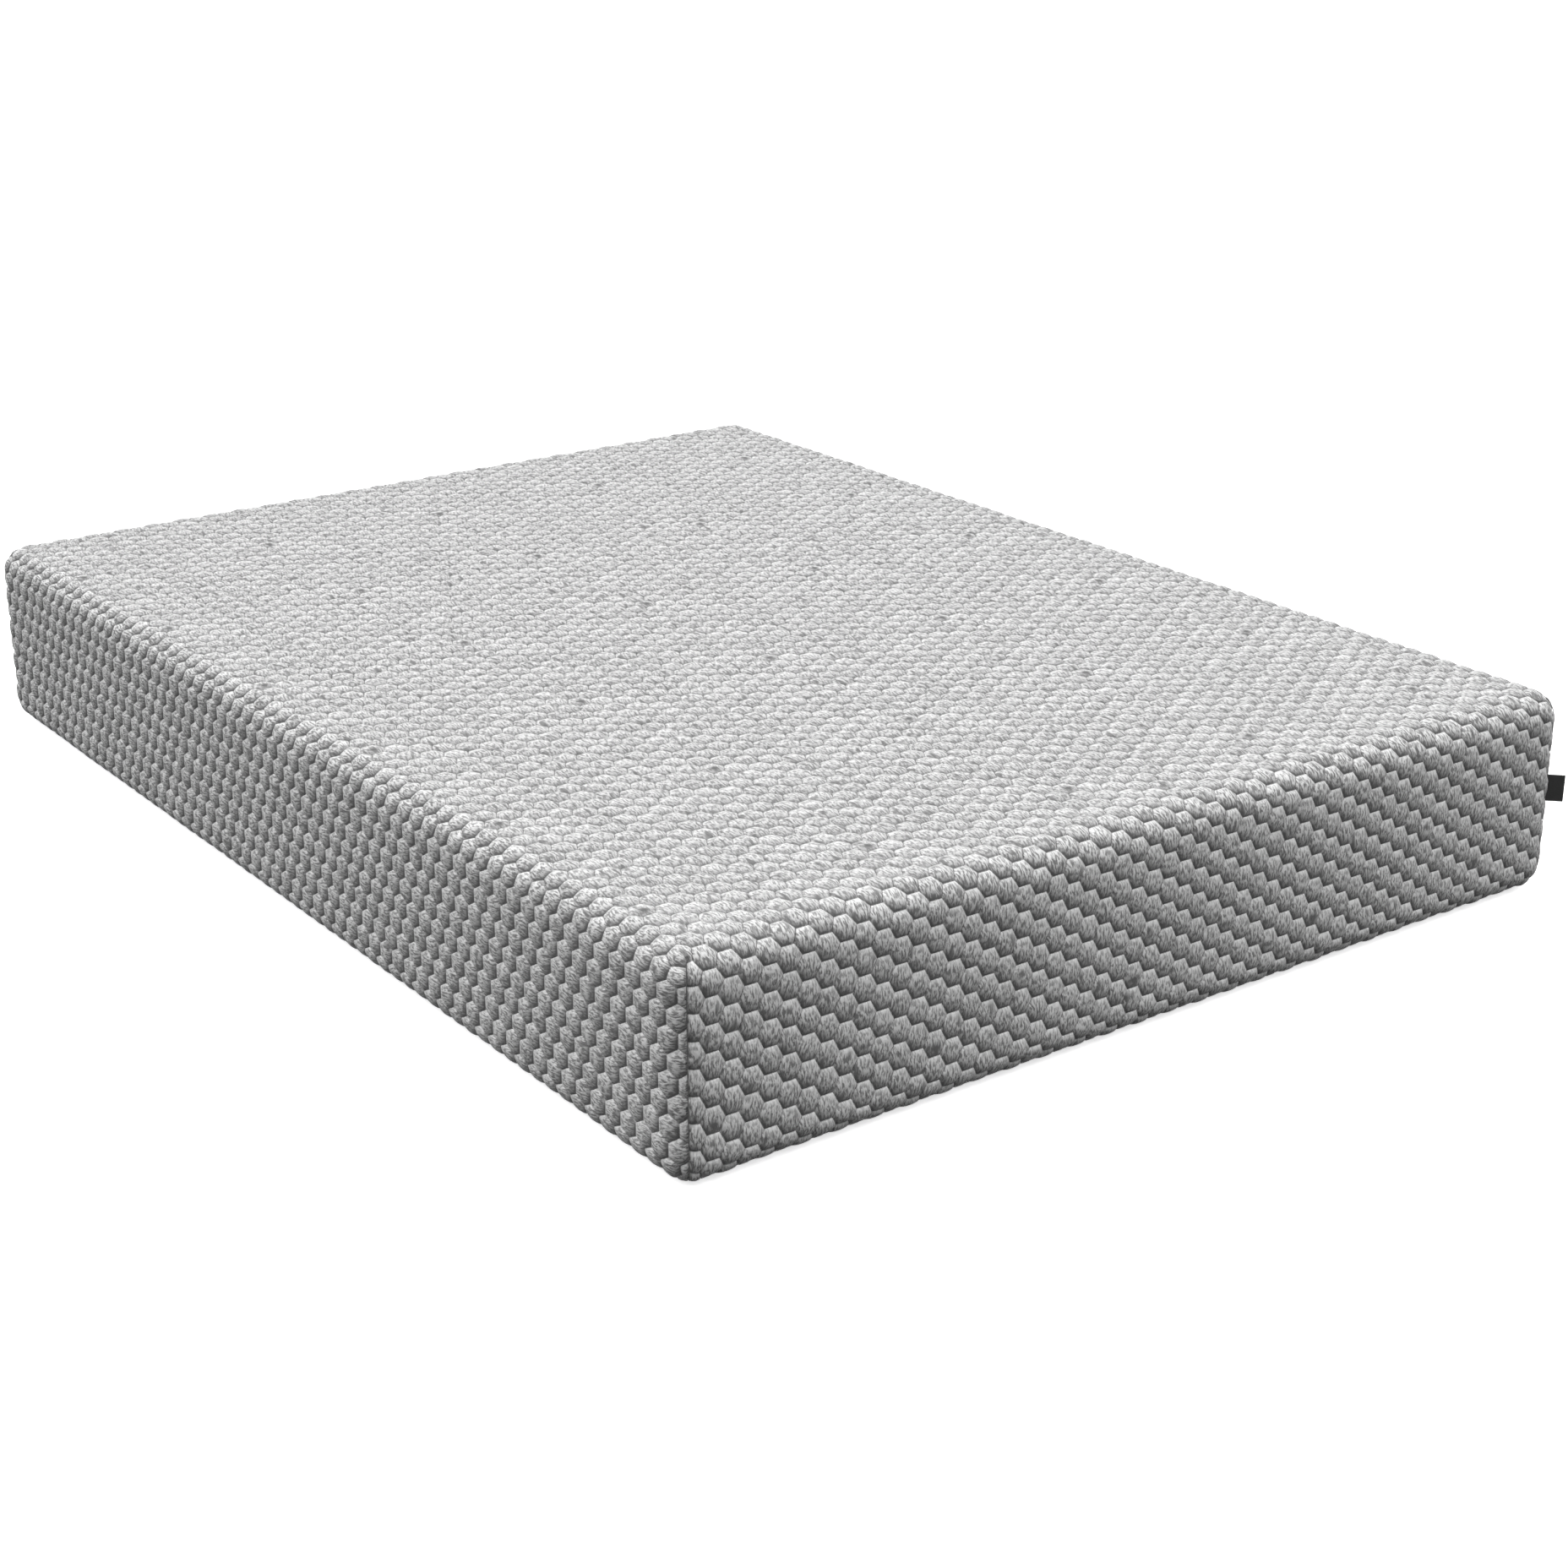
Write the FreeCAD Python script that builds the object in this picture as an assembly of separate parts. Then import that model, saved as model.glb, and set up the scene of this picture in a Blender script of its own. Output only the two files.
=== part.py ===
import FreeCAD, Part
import os
from math import cos, degrees, radians, sin

# A queen-size memory foam mattress: a layered foam core in a fire sock, inside a quilted knit
# cover that zips to a base panel under its bottom edge.
# Millimetres. X is the width, Y the length, Z up. The origin is at the middle of the underside,
# and the foot end faces -Y.

V = FreeCAD.Vector
UP = V(0, 0, 1)

# Driving dimensions: the outside of the finished mattress.
WIDTH = 1524.0
LENGTH = 2032.0
HEIGHT = 305.0
EDGE_RADIUS = 45.0

# Soft layers, from the outside in. Each one is inset from the outside by the ones around it.
COVER_THICKNESS = 5.0
SOCK_THICKNESS = 1.5
LAYER_GAP = 0.2
SOCK_INSET = COVER_THICKNESS + LAYER_GAP
FOAM_INSET = SOCK_INSET + SOCK_THICKNESS + LAYER_GAP

# Foam slabs, from the top down; the core fills what is left.
COMFORT_THICKNESS = 76.2
TRANSITION_THICKNESS = 50.8

# The bottom rounding is measured in degrees below horizontal, about the line that the edge
# radius turns on. The zip lies in the gap between the cover's hem and the base panel's edge.
HEM_ANGLE = 65.0
BASE_ANGLE = 80.0
ZIP_ANGLE = 72.5
INNER_RADIUS = EDGE_RADIUS - COVER_THICKNESS

# Zip, in radii from the line that the edge radius turns on.
TAPE_INNER = INNER_RADIUS + 0.1
TAPE_OUTER = TAPE_INNER + 0.7
TAPE_LAP = 13.0
TAPE_SLIT = 1.2
COIL_OUTER = TAPE_OUTER + 2.4
COIL_WIDTH = 3.82
COIL_GAP = 2.18
RECESS_CLEARANCE = 0.1

# Zip stops, slider and pull. The chain is broken near the head end's left corner, between the
# two stops, and the slider runs from there along the head end.
CHAIN_START = -676.0
CHAIN_BREAK = 24.0
STOP_LENGTH = 4.0
STOP_HEIGHT = 0.4
SLIDER_LENGTH = 12.0
SLIDER_START = CHAIN_START + 0.5
SLIDER_CLEARANCE = 0.3
PLATE_THICKNESS = 1.0
FLANGE_WIDTH = 0.8
POST_WIDTH = 0.9
POST_LENGTH = 4.0
BAIL_REACH = 2.3
BAIL_THICKNESS = 0.7
BAIL_RISE = 1.3
BAIL_WIDTH = 1.4
PULL_THICKNESS = 0.8
PULL_RISE = 0.65
PULL_ARM_INNER = 1.0
PULL_ARM_WIDTH = 1.4
PULL_WINDOW = 2.9
PULL_LENGTH = 18.0

# Corner seams: a thread in a groove, from just under the top edge to the hem. Each seam's place
# round its corner is given in degrees from the long side's normal.
SEAM_PLACES = {
    "foot_left": (-1, -1, 54.0),
    "foot_right": (1, -1, 45.0),
    "head_left": (-1, 1, 45.0),
    "head_right": (1, 1, 45.0),
}
SEAM_TOP_ANGLE = 47.0
SEAM_BOTTOM_ANGLE = 63.0
GROOVE_RADIUS = 2.2
THREAD_RADIUS = 0.6

# Side tag, sewn into the foot end's right corner seam.
TAG_REACH = 23.0
TAG_TOP = 176.5
TAG_BOTTOM = 136.0
TAG_THICKNESS = 0.9
TAG_STAND_OFF = 0.3

# Law label, sewn flat to the underside near the head end.
LABEL_WIDTH = 110.0
LABEL_LENGTH = 75.0
LABEL_THICKNESS = 0.3
LABEL_FROM_HEAD = 130.0

HALF_X = WIDTH / 2 - EDGE_RADIUS
HALF_Y = LENGTH / 2 - EDGE_RADIUS


def block(inset):
    """The mattress's outer shape, inset on every side."""
    size = V(WIDTH - 2 * inset, LENGTH - 2 * inset, HEIGHT - 2 * inset)
    box = Part.makeBox(size.x, size.y, size.z, V(-size.x / 2, -size.y / 2, inset))
    return box.makeFillet(EDGE_RADIUS - inset, box.Edges)


def slab(low, high):
    """A flat slab across the whole mattress, between two heights."""
    return Part.makeBox(WIDTH, LENGTH, high - low, V(-WIDTH / 2, -LENGTH / 2, low))


def on_rounding(radius, angle):
    """A point of the bottom rounding's section, with X measured outwards."""
    return V(radius * cos(radians(angle)), 0, EDGE_RADIUS - radius * sin(radians(angle)))


def sector(inner, outer, start, end):
    """A face between two radii and two angles of the bottom rounding."""
    middle = (start + end) / 2
    outside = Part.Arc(on_rounding(outer, start), on_rounding(outer, middle), on_rounding(outer, end))
    inside = Part.Arc(on_rounding(inner, end), on_rounding(inner, middle), on_rounding(inner, start))
    edges = [
        outside.toShape(),
        Part.makeLine(on_rounding(outer, end), on_rounding(inner, end)),
        inside.toShape(),
        Part.makeLine(on_rounding(inner, start), on_rounding(outer, start)),
    ]
    return Part.Face(Part.Wire(edges))


def join(shapes):
    """One solid from shapes that meet."""
    return shapes[0].multiFuse(shapes[1:]).removeSplitter()


def ring(section):
    """Carry a section of the bottom rounding round all four sides and corners."""
    pieces = []
    for turn, reach, run in ((0, HALF_X, HALF_Y), (90, HALF_Y, HALF_X)):
        straight = section.translated(V(reach, -run, 0)).extrude(V(0, 2 * run, 0))
        corner = section.translated(V(reach, run, 0)).revolve(V(reach, run, 0), UP, 90)
        for half_turn in (0, 180):
            for piece in (straight, corner):
                pieces.append(piece.rotated(V(), UP, turn + half_turn))
    return join(pieces)


def at_head(section, start, end):
    """A section of the bottom rounding carried along the head end between two places in X."""
    face = section.translated(V(HALF_Y, 0, 0)).rotated(V(), UP, 90)
    return face.translated(V(start, 0, 0)).extrude(V(end - start, 0, 0))


def half_angle(width, radius):
    """Half the angle that a width takes up at a radius of the bottom rounding."""
    return degrees(width / 2 / radius)


def foam_layers():
    """The three bonded slabs."""
    top = HEIGHT - FOAM_INSET
    comfort_bottom = top - COMFORT_THICKNESS
    transition_bottom = comfort_bottom - TRANSITION_THICKNESS
    foam = block(FOAM_INSET)
    return {
        "comfort_foam": foam.common(slab(comfort_bottom, HEIGHT)),
        "transition_foam": foam.common(slab(transition_bottom, comfort_bottom)),
        "support_core": foam.common(slab(0, transition_bottom)),
    }


def seam_path(corner, radius):
    """The line of a corner seam: down the top rounding, the upright and the bottom rounding."""
    side_x, side_y, angle = SEAM_PLACES[corner]
    centre = V(side_x * HALF_X, side_y * HALF_Y, 0)
    outward = V(side_x * cos(radians(angle)), side_y * sin(radians(angle)), 0)

    def place(height, elevation):
        rise = radius * sin(radians(elevation))
        return centre + outward * radius * cos(radians(elevation)) + UP * (height + rise)

    upper = HEIGHT - EDGE_RADIUS
    lower = EDGE_RADIUS
    top_arc = Part.Arc(
        place(upper, SEAM_TOP_ANGLE), place(upper, SEAM_TOP_ANGLE / 2), place(upper, 0))
    bottom_arc = Part.Arc(
        place(lower, 0), place(lower, -SEAM_BOTTOM_ANGLE / 2), place(lower, -SEAM_BOTTOM_ANGLE))
    upright = Part.makeLine(place(upper, 0), place(lower, 0))
    return Part.Wire([top_arc.toShape(), upright, bottom_arc.toShape()])


def seam_tube(corner, path_radius, tube_radius):
    """A round bar along a corner seam."""
    path = seam_path(corner, path_radius)
    start = path.Edges[0]
    ring_wire = Part.Wire(Part.makeCircle(tube_radius, start.firstVertex().Point,
                                          start.tangentAt(start.FirstParameter)))
    return path.makePipeShell([ring_wire], True, False)


def knit_cover():
    """The top and its four flaps, sewn at the corners, open underneath inside the hem."""
    shell = block(0).cut(block(COVER_THICKNESS))
    opening = Part.makeBox(2 * HALF_X, 2 * HALF_Y, EDGE_RADIUS, V(-HALF_X, -HALF_Y, -1))
    below_hem = ring(sector(EDGE_RADIUS / 2, EDGE_RADIUS * 1.5, HEM_ANGLE, 90))
    tape_recess = ring(sector(EDGE_RADIUS / 2, TAPE_OUTER + RECESS_CLEARANCE,
                              HEM_ANGLE - TAPE_LAP - 1, HEM_ANGLE + 1))
    cover = shell.cut(opening).cut(below_hem).cut(tape_recess)
    for corner in SEAM_PLACES:
        cover = cover.cut(seam_tube(corner, EDGE_RADIUS, GROOVE_RADIUS))
    return cover


def corner_seams():
    """The sewing thread of each corner, resting at the bottom of its groove."""
    radius = EDGE_RADIUS - GROOVE_RADIUS + THREAD_RADIUS
    return {
        "corner_seam_" + corner: seam_tube(corner, radius, THREAD_RADIUS)
        for corner in SEAM_PLACES
    }


def base_panel():
    """The flat underside, curving up at its rim, with a shallow seat for the law label."""
    flat = Part.makeBox(2 * HALF_X, 2 * HALF_Y, COVER_THICKNESS, V(-HALF_X, -HALF_Y, 0))
    rim = ring(sector(INNER_RADIUS, EDGE_RADIUS, BASE_ANGLE, 90))
    tape_recess = ring(sector(EDGE_RADIUS / 2, TAPE_OUTER + RECESS_CLEARANCE,
                              BASE_ANGLE - 1, BASE_ANGLE + TAPE_LAP / 2 + 1))
    return join([flat, rim]).cut(tape_recess).cut(law_label())


def law_label():
    """A blank label, sewn flat against the underside."""
    corner = V(-LABEL_WIDTH / 2, HALF_Y - LABEL_FROM_HEAD, 0)
    return Part.makeBox(LABEL_WIDTH, LABEL_LENGTH, LABEL_THICKNESS, corner)


def zip_tapes():
    """The two woven tapes, sewn under the hem and under the base panel's edge."""
    half_slit = TAPE_SLIT / 2
    return {
        "zip_tape_cover": ring(sector(TAPE_INNER, TAPE_OUTER,
                                      HEM_ANGLE - TAPE_LAP, ZIP_ANGLE - half_slit)),
        "zip_tape_base": ring(sector(TAPE_INNER, TAPE_OUTER,
                                     ZIP_ANGLE + half_slit, BASE_ANGLE + TAPE_LAP / 2)),
    }


def zip_coils():
    """The two nylon coils on the tapes, broken where the chain starts and ends."""
    gap = at_head(sector(EDGE_RADIUS / 2, EDGE_RADIUS * 1.5, HEM_ANGLE, BASE_ANGLE),
                  CHAIN_START - CHAIN_BREAK, CHAIN_START)
    near = COIL_GAP / 2
    far = near + COIL_WIDTH
    upper = ring(sector(TAPE_OUTER, COIL_OUTER, ZIP_ANGLE - far, ZIP_ANGLE - near))
    lower = ring(sector(TAPE_OUTER, COIL_OUTER, ZIP_ANGLE + near, ZIP_ANGLE + far))
    return {"zip_coil_cover": upper.cut(gap), "zip_coil_base": lower.cut(gap)}


def zip_end_stops():
    """The two clips that close the chain's ends."""
    spread = COIL_GAP / 2 + COIL_WIDTH
    section = sector(TAPE_OUTER, COIL_OUTER + STOP_HEIGHT, ZIP_ANGLE - spread, ZIP_ANGLE + spread)
    start = at_head(section, CHAIN_START - STOP_LENGTH, CHAIN_START)
    end = start.translated(V(STOP_LENGTH - CHAIN_BREAK, 0, 0))
    return Part.makeCompound([start, end])


def zip_slider():
    """A plate over both coils, with a flange at each side, a post between them and a bail."""
    end = SLIDER_START + SLIDER_LENGTH
    middle = SLIDER_START + SLIDER_LENGTH / 2
    under = COIL_OUTER + SLIDER_CLEARANCE
    over = under + PLATE_THICKNESS
    foot = TAPE_OUTER + SLIDER_CLEARANCE
    inner = COIL_GAP / 2 + COIL_WIDTH + 2 * half_angle(SLIDER_CLEARANCE, under)
    outer = inner + 2 * half_angle(FLANGE_WIDTH, under)
    post = half_angle(POST_WIDTH, under)
    bail = half_angle(BAIL_WIDTH, over)
    bail_inside = over + BAIL_RISE
    bail_section = sector(under, bail_inside + BAIL_THICKNESS, ZIP_ANGLE - bail, ZIP_ANGLE + bail)
    bail_hole = sector(over, bail_inside, ZIP_ANGLE - 2 * bail, ZIP_ANGLE + 2 * bail)
    hole_reach = BAIL_REACH - BAIL_THICKNESS
    arch = at_head(bail_section, middle - BAIL_REACH, middle + BAIL_REACH).cut(
        at_head(bail_hole, middle - hole_reach, middle + hole_reach))
    return join([
        at_head(sector(under, over, ZIP_ANGLE - outer, ZIP_ANGLE + outer), SLIDER_START, end),
        at_head(sector(foot, over, ZIP_ANGLE - outer, ZIP_ANGLE - inner), SLIDER_START, end),
        at_head(sector(foot, over, ZIP_ANGLE + inner, ZIP_ANGLE + outer), SLIDER_START, end),
        at_head(sector(foot, over, ZIP_ANGLE - post, ZIP_ANGLE + post), end - POST_LENGTH, end),
        arch,
    ])


def zip_pull():
    """A flat tab whose end bar passes under the slider's bail."""
    plate_top = COIL_OUTER + SLIDER_CLEARANCE + PLATE_THICKNESS
    half = PULL_THICKNESS / 2
    reach = PULL_ARM_INNER + PULL_ARM_WIDTH
    flat = Part.makeBox(PULL_LENGTH + half, 2 * reach, PULL_THICKNESS, V(-half, -reach, -half))
    window = Part.makeBox(PULL_WINDOW - half, 2 * PULL_ARM_INNER, PULL_THICKNESS,
                          V(half, -PULL_ARM_INNER, -half))
    tab = flat.cut(window)
    bar_ends = [edge for edge in tab.Edges
                if edge.BoundBox.XMax < -half + 0.01 and edge.BoundBox.YLength > reach]
    tab = tab.makeFillet(half - 0.01, bar_ends)
    tab_corners = [edge for edge in tab.Edges
                   if edge.BoundBox.XMin > PULL_LENGTH - 0.01 and edge.BoundBox.ZLength > half]
    tab = tab.makeFillet(reach / 2, tab_corners)
    tab.rotate(V(), V(1, 0, 0), 90 - ZIP_ANGLE)
    bar = on_rounding(plate_top + PULL_RISE, ZIP_ANGLE)
    return tab.translated(V(SLIDER_START + SLIDER_LENGTH / 2, HALF_Y + bar.x, bar.z))


def side_tag():
    """A folded woven tag that stands out of the corner seam."""
    side_x, side_y, angle = SEAM_PLACES["foot_right"]
    root = EDGE_RADIUS + TAG_STAND_OFF
    flap = Part.makeBox(TAG_REACH, TAG_THICKNESS, TAG_TOP - TAG_BOTTOM,
                        V(root, -TAG_THICKNESS / 2, TAG_BOTTOM))
    return flap.rotated(V(), UP, side_y * angle).translated(V(side_x * HALF_X, side_y * HALF_Y, 0))


parts = {
    "knit_cover": knit_cover(),
    "base_panel": base_panel(),
    "law_label": law_label(),
    "side_tag": side_tag(),
    "zip_end_stops": zip_end_stops(),
    "zip_slider": zip_slider(),
    "zip_pull": zip_pull(),
    "fire_sock": block(SOCK_INSET).cut(block(SOCK_INSET + SOCK_THICKNESS)),
}
parts.update(corner_seams())
parts.update(zip_tapes())
parts.update(zip_coils())
parts.update(foam_layers())

os.makedirs("parts", exist_ok=True)
for node, shape in parts.items():
    shape.exportStep("parts/" + node + ".step")
    box = shape.BoundBox
    print(node, len(shape.Solids), shape.isValid(), round(shape.Volume / 1e3, 2), "cm3",
          [round(v, 2) for v in (box.XMin, box.XMax, box.YMin, box.YMax, box.ZMin, box.ZMax)])
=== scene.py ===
# A queen-size memory foam mattress in a puffed knit cover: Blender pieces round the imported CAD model.
import math

import bmesh
import bpy
import numpy as np
from mathutils import Matrix, Vector


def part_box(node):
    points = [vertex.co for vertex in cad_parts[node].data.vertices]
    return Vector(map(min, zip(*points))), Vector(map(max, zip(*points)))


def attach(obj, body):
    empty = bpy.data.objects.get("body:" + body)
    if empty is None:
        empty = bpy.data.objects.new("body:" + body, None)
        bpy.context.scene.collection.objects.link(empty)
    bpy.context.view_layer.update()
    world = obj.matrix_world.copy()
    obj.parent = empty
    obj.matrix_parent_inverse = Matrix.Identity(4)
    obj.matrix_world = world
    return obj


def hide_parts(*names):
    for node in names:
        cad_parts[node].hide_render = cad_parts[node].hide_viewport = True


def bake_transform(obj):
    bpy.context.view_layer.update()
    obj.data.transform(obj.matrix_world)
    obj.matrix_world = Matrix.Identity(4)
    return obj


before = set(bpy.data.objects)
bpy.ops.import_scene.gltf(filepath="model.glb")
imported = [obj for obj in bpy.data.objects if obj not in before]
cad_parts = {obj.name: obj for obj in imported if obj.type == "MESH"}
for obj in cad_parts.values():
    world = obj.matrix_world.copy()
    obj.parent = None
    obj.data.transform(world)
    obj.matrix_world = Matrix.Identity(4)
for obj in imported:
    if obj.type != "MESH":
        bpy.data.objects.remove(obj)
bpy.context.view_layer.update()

# --- Studio -----------------------------------------------------------------------------------
# A pale floor and a white backdrop under four large soft lights, the two strongest over the right
# side and over the head end, and a camera that looks down on the foot end's left corner. All
# lengths are in metres and all angles in degrees unless a name or a function makes them radians.

FLOOR_SIZE = 60.0
FLOOR_WHITE = "#fafafa"
FILL_STRENGTH = 0.04
FLOOR_GLOW = 0.70
KEY_SOFTNESS = 40.0
KEYS = {"key_over_side": (1.83, (0.70, -0.60, 1.0)),
        "key_over_head": (2.01, (-0.75, 0.50, 1.0)),
        "key_above": (1.60, (0.25, 0.40, 1.0)),
        "key_in_front": (1.30, (-0.70, -0.70, 1.0))}
AIM = Vector((0.1137, -0.0212, 0.0))
AIM_DISTANCE = 4.2718
AZIMUTH = -36.25
ELEVATION = 21.25
LENS = 61.4


def linear(colour):
    """An sRGB hex colour as linear red, green, blue and alpha."""
    channels = [int(colour[i:i + 2], 16) / 255 for i in (1, 3, 5)]
    return [c / 12.92 if c <= 0.04045 else ((c + 0.055) / 1.055) ** 2.4 for c in channels] + [1.0]


def node(tree, kind, links=None, **settings):
    """Add a shader node. Settings are its properties or input values; links feed its inputs."""
    made = tree.nodes.new("ShaderNode" + kind)
    for name, value in settings.items():
        if hasattr(made, name):
            setattr(made, name, value)
        else:
            made.inputs[name.replace("_", " ")].default_value = value
    for name, source in (links or {}).items():
        tree.links.new(source, made.inputs[name])
    return made


def material(name):
    """A new node material and its principled shader."""
    made = bpy.data.materials.new(name)
    made.use_nodes = True
    return made, made.node_tree, made.node_tree.nodes["Principled BSDF"]


def piece(name, bm, *materials):
    """A mesh object at the origin from a bmesh, with its materials."""
    mesh = bpy.data.meshes.new(name)
    bm.to_mesh(mesh)
    bm.free()
    for each in materials:
        mesh.materials.append(each)
    made = bpy.data.objects.new(name, mesh)
    bpy.context.scene.collection.objects.link(made)
    return made


floor_paint, tree, shader = material("matt_white_floor")
# Rolled matt white paint, lit so evenly that the mattress leaves only a faint shadow on it.
shader.inputs["Base Color"].default_value = linear(FLOOR_WHITE)
shader.inputs["Roughness"].default_value = 0.95
shader.inputs["Specular IOR Level"].default_value = 0.1
shader.inputs["Emission Color"].default_value = linear(FLOOR_WHITE)
shader.inputs["Emission Strength"].default_value = FLOOR_GLOW
bm = bmesh.new()
bmesh.ops.create_grid(bm, x_segments=1, y_segments=1, size=FLOOR_SIZE / 2)
floor = piece("floor", bm, floor_paint)
floor.visible_diffuse = False

world = bpy.data.worlds.new("white_studio")
world.use_nodes = True
tree = world.node_tree
# The cloth behind the floor is white to look at, but gives the mattress only a faint fill.
fill = tree.nodes["Background"]
fill.inputs["Color"].default_value = (1, 1, 1, 1)
fill.inputs["Strength"].default_value = FILL_STRENGTH
backdrop = node(tree, "Background", Color=(1, 1, 1, 1), Strength=1.0).outputs[0]
seen = node(tree, "LightPath").outputs["Is Camera Ray"]
either = node(tree, "MixShader", {0: seen, 1: fill.outputs[0], 2: backdrop}).outputs[0]
tree.links.new(either, tree.nodes["World Output"].inputs["Surface"])
bpy.context.scene.world = world

for name, (strength, direction) in KEYS.items():
    key = bpy.data.objects.new(name, bpy.data.lights.new(name, "SUN"))
    key.data.energy = strength
    key.data.angle = math.radians(KEY_SOFTNESS)
    key.rotation_euler = Vector(direction).to_track_quat("Z", "Y").to_euler()
    bpy.context.scene.collection.objects.link(key)

camera = bpy.data.objects.new("camera", bpy.data.cameras.new("camera"))
camera.data.lens = LENS
camera.data.clip_end = 200.0
azimuth, elevation = math.radians(AZIMUTH), math.radians(ELEVATION)
back = Vector((math.sin(azimuth) * math.cos(elevation), -math.cos(azimuth) * math.cos(elevation),
               math.sin(elevation)))
camera.location = AIM + back * AIM_DISTANCE
camera.rotation_euler = back.to_track_quat("Z", "Y").to_euler()
bpy.context.scene.collection.objects.link(camera)
bpy.context.scene.camera = camera
bpy.context.scene.view_settings.view_transform = "Standard"

# --- Knit cover -------------------------------------------------------------------------------
# A jacquard double knit of heathered grey polyester, its six-sided cells stuffed into soft puffs.
# It is cut as one cross, the top and four flaps, folded down over the core and sewn to itself at
# the corners. The hem is pressed thin where the zip tape is sewn behind it, under the bottom edge.

EDGE_RADIUS = 0.045
HEM_ANGLE = 65.0
ROW_PITCH = 0.0325
COLUMN_PITCH = 0.02708
ROW_START = 0.0056
COLUMN_START = -0.0084
PUFF_HEIGHT = 0.0055
PUFF_PROUD = 0.0008
PUFF_RINGS = ((0.0007, 0.0013), (0.0017, 0.0016), (0.0034, 0.0014), (0.0044, 0.0008))
PUFF_CROWN = 0.0004
PUFF_LEAN = 0.0022
PUFF_SPREAD = 0.10
PUFF_SEED = 11
SIDE_STRETCH = 1.041
END_STRETCH = 1.065
SEAM_START = math.radians(47.0)
SEAM_BEND = math.radians(62.0)
SEAM_ROLL = 0.003
HEM_ROLL = 0.009
EDGE_SINK = 0.0006
TILE_COLUMNS = 12
TILE_ROWS = 10
SWELL = 0.0005
SWELL_WAVES = 9
SWELL_LENGTHS = (0.25, 0.9)

# The crease colour and the foot-side slope colour below are painted shade, and the light yarn colour is
# also used as a painted highlight.
KNIT_LIGHT_YARN_AND_HIGHLIGHT = "#d8d8d8"
KNIT_DARK = "#767676"
KNIT_CREASE_SHADE = "#585858"
KNIT_SLUB_FLECK_AND_SHADE = "#606060"
# LEE points to the side of each puff that gets painted shade; the puffs also lean away from it.
LEE = (-0.45, -0.89, 0.0)
PAINTED_SLOPE_LIGHT_TOP = 1.30
PAINTED_SLOPE_LIGHT_FLAPS = 1.95
PAINTED_WINDWARD_HIGHLIGHT = 0.6
GRAIN_TOP = 0.72
YARN_WIDTH = 0.0023
YARN_LENGTH = 0.008
YARN_WANDER = 0.007
YARN_RELIEF = 0.0012
SLUB_SIZE = 3.2
FLECK_PLACE = (-0.712, -0.876)
FLECK_SIZE = 0.0055
FLECK_SHARE = 1.3
SLUB_SPAN = (0.66, 0.78)
SLUB_SHARE = 0.8
HEATHER_SPAN = (0.42, 0.56)
PUFF_TONE = 0.05
WANDER_SCALE = 45.0
CREASE_SHARE = 0.16

low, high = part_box("knit_cover")
HALF_X = high[0] - EDGE_RADIUS
HALF_Y = high[1] - EDGE_RADIUS
TOP = high[2]
QUARTER = EDGE_RADIUS * math.pi / 2
UPRIGHT = TOP - 2 * EDGE_RADIUS
PAST_HEM = 0.5
CORNER_REACH = EDGE_RADIUS * 1.2
CORNER_MARGIN = 0.01
WELD = 1e-5
DROP = QUARTER + UPRIGHT + EDGE_RADIUS * math.radians(HEM_ANGLE)
SIDE_FLAP = DROP / SIDE_STRETCH
END_FLAP = DROP / END_STRETCH
SEAM_ANGLES = {(-1, -1): math.radians(54.0), (1, -1): math.radians(45.0),
               (-1, 1): math.radians(45.0), (1, 1): math.radians(45.0)}


def copies(bm, count, step):
    """Repeat all that a bmesh holds, so that it stands count times, a step apart."""
    source = bm.verts[:] + bm.edges[:] + bm.faces[:]
    for n in range(1, count):
        made = bmesh.ops.duplicate(bm, geom=source)["geom"]
        moved = [item for item in made if isinstance(item, bmesh.types.BMVert)]
        bmesh.ops.translate(bm, vec=Vector(step) * n, verts=moved)


def puff_field():
    """A flat field of joined puffs, a little larger than the cross."""
    bm = bmesh.new()
    radius = ROW_PITCH / math.sqrt(3)
    bmesh.ops.create_circle(bm, cap_ends=True, segments=6, radius=radius)
    bmesh.ops.rotate(bm, cent=(0, 0, 0), matrix=Matrix.Rotation(math.pi / 2, 3, "Z"), verts=bm.verts)
    bmesh.ops.scale(bm, vec=(COLUMN_PITCH / (1.5 * radius), 1, 1), verts=bm.verts)
    bmesh.ops.subdivide_edges(bm, edges=bm.edges[:], cuts=1)
    for edge in bm.edges:
        edge.smooth = False
    crown = bm.faces[:]
    for width, rise in PUFF_RINGS:
        bmesh.ops.inset_individual(bm, faces=crown, thickness=width, depth=rise, use_even_offset=True)
    bmesh.ops.poke(bm, faces=crown, offset=PUFF_CROWN)
    for vert in bm.verts:
        vert.co -= Vector(LEE) * PUFF_LEAN * vert.co.z / PUFF_HEIGHT
    for face in bm.faces:
        face.smooth = True
    columns = 2 * math.ceil((HALF_X + SIDE_FLAP + COLUMN_PITCH) / COLUMN_PITCH / 2)
    rows = math.ceil((HALF_Y + END_FLAP + ROW_PITCH) / ROW_PITCH)
    copies(bm, 2, (COLUMN_PITCH, ROW_PITCH / 2, 0))
    copies(bm, 2 * rows, (0, ROW_PITCH, 0))
    copies(bm, columns, (2 * COLUMN_PITCH, 0, 0))
    corner = (COLUMN_START - columns * COLUMN_PITCH, ROW_START - rows * ROW_PITCH, 0)
    bmesh.ops.translate(bm, vec=corner, verts=bm.verts)
    bmesh.ops.remove_doubles(bm, verts=bm.verts, dist=WELD)
    return bm


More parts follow.
